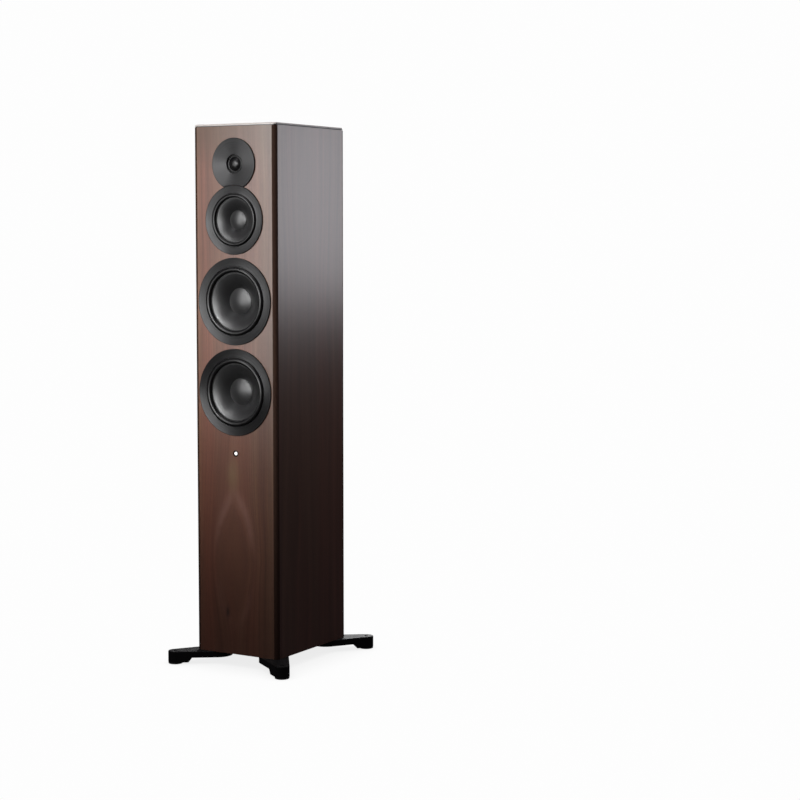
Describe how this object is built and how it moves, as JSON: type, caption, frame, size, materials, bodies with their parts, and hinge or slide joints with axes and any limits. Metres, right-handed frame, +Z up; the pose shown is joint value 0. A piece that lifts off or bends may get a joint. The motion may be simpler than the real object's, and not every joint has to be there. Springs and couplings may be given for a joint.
{
  "type": "floorstanding speaker",
  "caption": "Tall walnut-veneered box loudspeaker with a tweeter, a midrange and woofers in dark trim rings, standing on black outrigger feet, with amplifier and sockets on its back.",
  "frame": {"origin": "on the floor, under the middle of the cabinet", "axes": "+Z up; the baffle faces -Y; +X is on the right of someone who faces the baffle"},
  "size_m": [0.3108, 0.3698, 1.163],
  "materials": {
    "walnut_veneer": "satin walnut veneer, upright grain",
    "walnut_top": "satin walnut veneer",
    "black_board": "black-stained fibreboard",
    "raw_board": "raw fibreboard",
    "damping_felt": "needled absorber",
    "ring_metal": "dark anodised, circular brushed",
    "cast_alloy": "black-painted casting",
    "surround_rubber": "satin black",
    "cone_polymer": "satin graphite polymer",
    "coil_wire": "copper winding",
    "spider_cloth": "resin-dipped cloth",
    "magnet_iron": "ferrite and plated steel",
    "dome_fabric": "coated woven dome",
    "bezel_plastic": "gloss black",
    "light_guide": "milky light guide",
    "black_steel": "black oxide",
    "arm_metal": "satin black powder coat",
    "pad_rubber": "matte dark grey",
    "anodised_panel": "black anodised",
    "zinc_steel": "zinc plated",
    "circuit_board": "solder mask",
    "socket_plastic": "moulded black",
    "rocker_plastic": "moulded black",
    "socket_metal": "gold plated",
    "wire_jacket": "soft black jacket"
  },
  "bodies": {
    "cabinet": {"front_baffle": "walnut_veneer", "left_side_panel": "walnut_veneer", "right_side_panel": "walnut_veneer", "rear_panel": "walnut_veneer", "top_panel": "walnut_top", "bottom_panel": "black_board", "cabinet_braces": "raw_board", "midrange_chamber": "raw_board", "damping_pads": "damping_felt", "midrange_trim_ring": "ring_metal", "upper_woofer_trim_ring": "ring_metal", "lower_woofer_trim_ring": "ring_metal", "tweeter_faceplate": "ring_metal", "midrange_basket": "cast_alloy", "woofer_baskets": "cast_alloy", "midrange_surround": "surround_rubber", "upper_woofer_surround": "surround_rubber", "lower_woofer_surround": "surround_rubber", "midrange_spider": "spider_cloth", "upper_woofer_spider": "spider_cloth", "lower_woofer_spider": "spider_cloth", "midrange_magnet_system": "magnet_iron", "woofer_magnet_systems": "magnet_iron", "tweeter_magnet_system": "magnet_iron", "tweeter_suspension": "dome_fabric", "status_light_bezel": "bezel_plastic", "status_light_lens": "light_guide", "arm_bolts": "black_steel", "amp_panel": "anodised_panel", "heat_sink": "anodised_panel", "electronics_housing": "zinc_steel", "electronics_boards": "circuit_board", "mains_inlet": "socket_plastic", "signal_sockets": "socket_metal", "panel_screws": "black_steel", "wiring_harness": "wire_jacket", "front_left_arm": "arm_metal", "front_right_arm": "arm_metal", "rear_left_arm": "arm_metal", "rear_right_arm": "arm_metal"},
    "tweeter_diaphragm": {"tweeter_dome": "dome_fabric", "tweeter_voice_coil": "coil_wire"},
    "midrange_diaphragm": {"midrange_cone": "cone_polymer", "midrange_voice_coil": "coil_wire"},
    "upper_woofer_diaphragm": {"upper_woofer_cone": "cone_polymer", "upper_woofer_voice_coil": "coil_wire"},
    "lower_woofer_diaphragm": {"lower_woofer_cone": "cone_polymer", "lower_woofer_voice_coil": "coil_wire"},
    "power_switch": {"power_rocker": "rocker_plastic"},
    "placement_slider": {"placement_switch": "socket_plastic"},
    "pairing_button": {"pair_button": "rocker_plastic"},
    "front_left_foot": {"front_left_foot_pad": "pad_rubber"},
    "front_left_screw": {"front_left_levelling_screw": "black_steel"},
    "front_right_foot": {"front_right_foot_pad": "pad_rubber"},
    "front_right_screw": {"front_right_levelling_screw": "black_steel"},
    "rear_left_foot": {"rear_left_foot_pad": "pad_rubber"},
    "rear_left_screw": {"rear_left_levelling_screw": "black_steel"},
    "rear_right_foot": {"rear_right_foot_pad": "pad_rubber"},
    "rear_right_screw": {"rear_right_levelling_screw": "black_steel"}
  },
  "joints": [
    {"name": "tweeter_travel", "type": "slide", "parent": "cabinet", "child": "tweeter_diaphragm", "axis": [0, -1, 0], "range_m": [-0.0005, 0.0005], "stiffness_N_per_m": 400, "deforming": ["tweeter_suspension"]},
    {"name": "midrange_travel", "type": "slide", "parent": "cabinet", "child": "midrange_diaphragm", "axis": [0, -1, 0], "range_m": [-0.003, 0.003], "stiffness_N_per_m": 900, "deforming": ["midrange_surround", "midrange_spider"]},
    {"name": "upper_woofer_travel", "type": "slide", "parent": "cabinet", "child": "upper_woofer_diaphragm", "axis": [0, -1, 0], "range_m": [-0.0065, 0.0065], "stiffness_N_per_m": 1000, "deforming": ["upper_woofer_surround", "upper_woofer_spider"]},
    {"name": "lower_woofer_travel", "type": "slide", "parent": "cabinet", "child": "lower_woofer_diaphragm", "axis": [0, -1, 0], "range_m": [-0.0065, 0.0065], "stiffness_N_per_m": 1000, "deforming": ["lower_woofer_surround", "lower_woofer_spider"]},
    {"name": "power_rocker_tilt", "type": "hinge", "parent": "cabinet", "child": "power_switch", "pos_m": [-0.045, 0.132, 0.119], "axis": [-1, 0, 0], "range_deg": [0, 16]},
    {"name": "placement_switch_slide", "type": "slide", "parent": "cabinet", "child": "placement_slider", "axis": [1, 0, 0], "range_m": [-0.004, 0.004]},
    {"name": "pair_button_press", "type": "slide", "parent": "cabinet", "child": "pairing_button", "axis": [0, -1, 0], "range_m": [0, 0.0012], "stiffness_N_per_m": 800, "springref_m": -0.0005},
    {"name": "front_left_foot_lift", "type": "slide", "parent": "cabinet", "child": "front_left_foot", "axis": [0, 0, -1], "range_m": [0, 0.008]},
    {"name": "front_left_screw_turn", "type": "hinge", "parent": "front_left_foot", "child": "front_left_screw", "pos_m": [-0.13944, -0.16894, 0.015], "axis": [0, 0, -1], "range_deg": [0, 2310]},
    {"name": "front_right_foot_lift", "type": "slide", "parent": "cabinet", "child": "front_right_foot", "axis": [0, 0, -1], "range_m": [0, 0.008]},
    {"name": "front_right_screw_turn", "type": "hinge", "parent": "front_right_foot", "child": "front_right_screw", "pos_m": [0.13944, -0.16894, 0.015], "axis": [0, 0, -1], "range_deg": [0, 2310]},
    {"name": "rear_left_foot_lift", "type": "slide", "parent": "cabinet", "child": "rear_left_foot", "axis": [0, 0, -1], "range_m": [0, 0.008]},
    {"name": "rear_left_screw_turn", "type": "hinge", "parent": "rear_left_foot", "child": "rear_left_screw", "pos_m": [-0.13944, 0.16894, 0.015], "axis": [0, 0, -1], "range_deg": [0, 2310]},
    {"name": "rear_right_foot_lift", "type": "slide", "parent": "cabinet", "child": "rear_right_foot", "axis": [0, 0, -1], "range_m": [0, 0.008]},
    {"name": "rear_right_screw_turn", "type": "hinge", "parent": "rear_right_foot", "child": "rear_right_screw", "pos_m": [0.13944, 0.16894, 0.015], "axis": [0, 0, -1], "range_deg": [0, 2310]}
  ],
  "couplings": [
    {"joint": "front_left_screw_turn", "follows": "front_left_foot_lift", "rad_per_m": 5026.5},
    {"joint": "front_right_screw_turn", "follows": "front_right_foot_lift", "rad_per_m": 5026.5},
    {"joint": "rear_left_screw_turn", "follows": "rear_left_foot_lift", "rad_per_m": 5026.5},
    {"joint": "rear_right_screw_turn", "follows": "rear_right_foot_lift", "rad_per_m": 5026.5}
  ]
}
